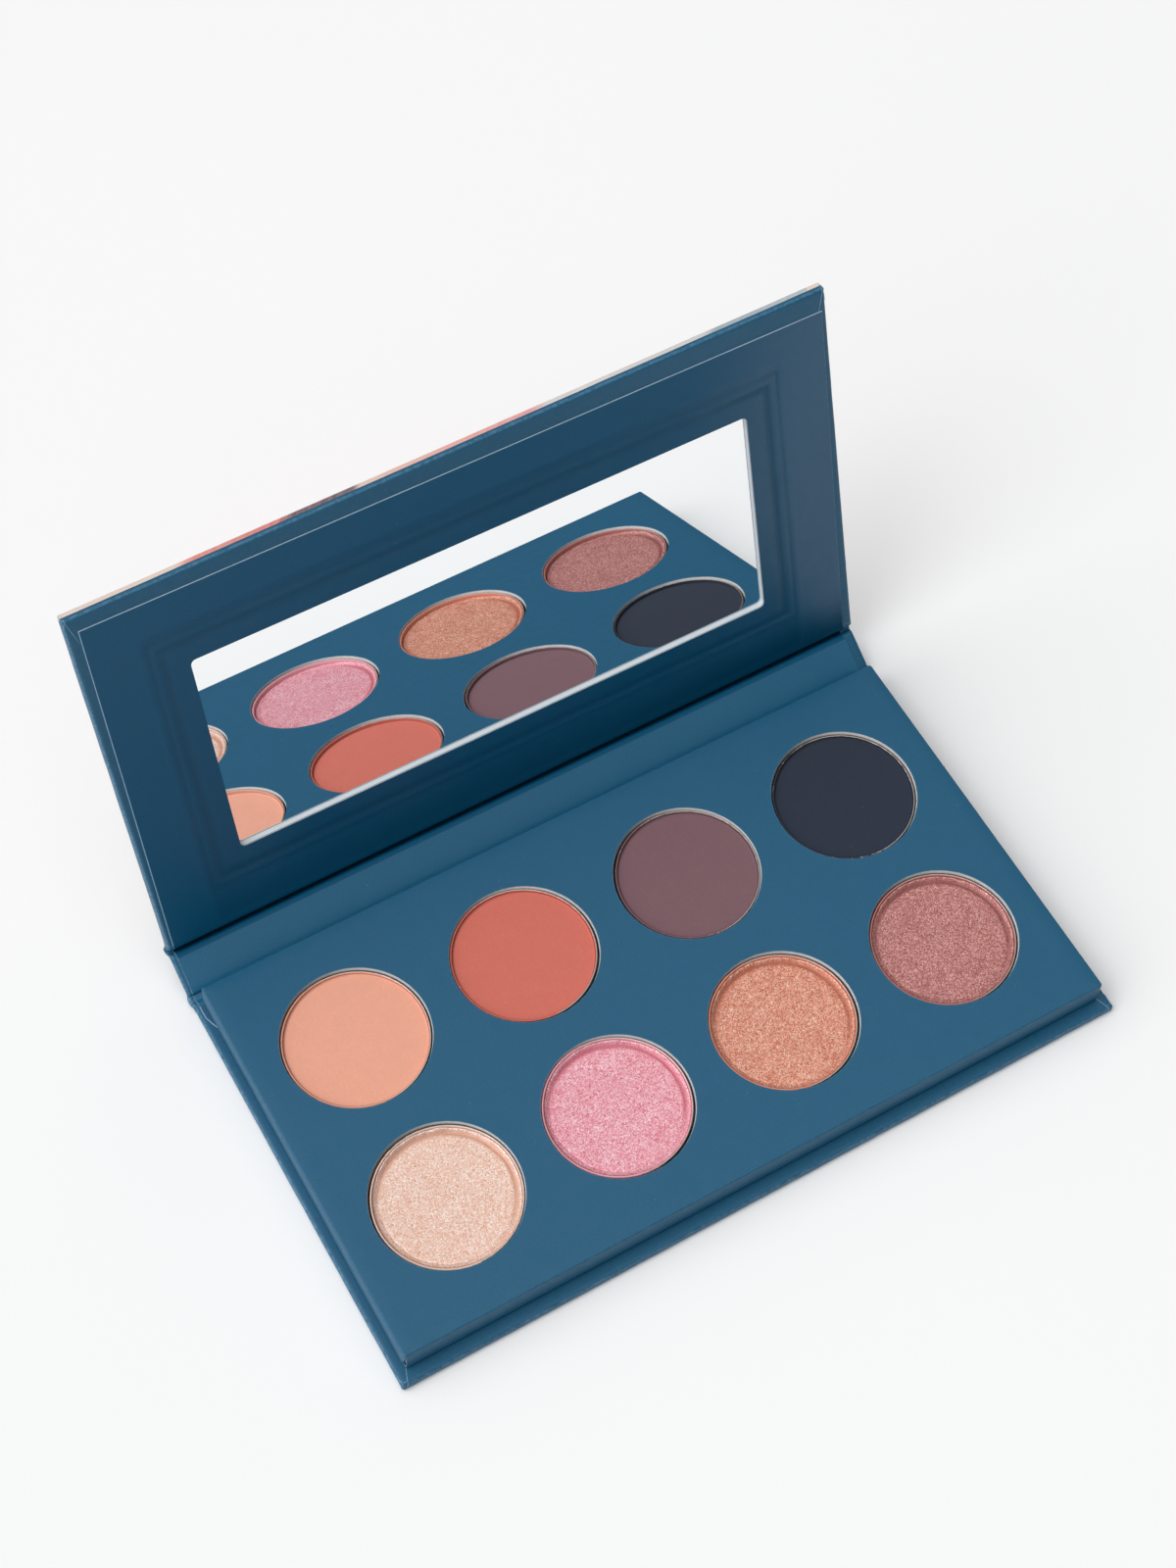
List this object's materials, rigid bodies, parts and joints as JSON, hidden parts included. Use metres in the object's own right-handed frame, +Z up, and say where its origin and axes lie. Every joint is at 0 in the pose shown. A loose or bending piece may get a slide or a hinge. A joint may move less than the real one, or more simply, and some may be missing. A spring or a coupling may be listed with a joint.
{
  "type": "eyeshadow palette",
  "caption": "Book-style eyeshadow palette: a paper-wrapped board cover with a mirror in its hinged lid, and a tray of round metal pans of pressed powder.",
  "frame": {"origin": "on the underside of the base, below the middle of the tray of pans", "axes": "+X along the palette's width, to the user's right; +Y to the back, where the spine and the lid's creases are; +Z up"},
  "size_m": [0.1436, 0.1132, 0.0846],
  "materials": {
    "wrap_paper": "matte",
    "liner_paper": "matte",
    "cover_print": "satin",
    "greyboard": "matte",
    "tinplate": "satin",
    "magnet_plating": "satin",
    "hot_melt_glue": "satin",
    "tape": "matte",
    "mirror_glass": "polished",
    "mirror_silver": "polished",
    "powder_peach": "matte",
    "powder_brick": "matte",
    "powder_plum": "matte",
    "powder_midnight": "matte",
    "powder_cream": "satin",
    "powder_pink": "satin",
    "powder_copper": "satin",
    "powder_mauve": "satin"
  },
  "bodies": {
    "base": {"base_board": "greyboard", "base_wrap": "wrap_paper", "base_liner": "liner_paper", "tray_floor": "greyboard", "tray_core": "greyboard", "tray_wrap": "wrap_paper", "tray_magnets": "magnet_plating", "pan_glue_dots": "hot_melt_glue", "pan_peach": "tinplate", "pan_brick": "tinplate", "pan_plum": "tinplate", "pan_midnight": "tinplate", "pan_cream": "tinplate", "pan_pink": "tinplate", "pan_copper": "tinplate", "pan_mauve": "tinplate", "powder_peach": "powder_peach", "powder_brick": "powder_brick", "powder_plum": "powder_plum", "powder_midnight": "powder_midnight", "powder_cream": "powder_cream", "powder_pink": "powder_pink", "powder_copper": "powder_copper", "powder_mauve": "powder_mauve"},
    "spine": {"spine_board": "greyboard", "spine_wrap": "wrap_paper", "spine_liner": "liner_paper"},
    "lid": {"lid_board": "greyboard", "lid_wrap": "cover_print", "mirror_surround": "greyboard", "window_frame": "greyboard", "lid_liner": "liner_paper", "lid_magnets": "magnet_plating", "mirror_glass": "mirror_glass", "mirror_silvering": "mirror_silver", "mirror_tape": "tape"}
  },
  "joints": [
    {"name": "spine_fold", "type": "hinge", "parent": "base", "child": "spine", "pos_m": [0, 0.04054, 0.00007], "axis": [1, 0, 0], "range_deg": [-31, 59]},
    {"name": "lid_fold", "type": "hinge", "parent": "spine", "child": "lid", "pos_m": [0, 0.04971, 0.00558], "axis": [1, 0, 0], "range_deg": [-43, 47]}
  ]
}
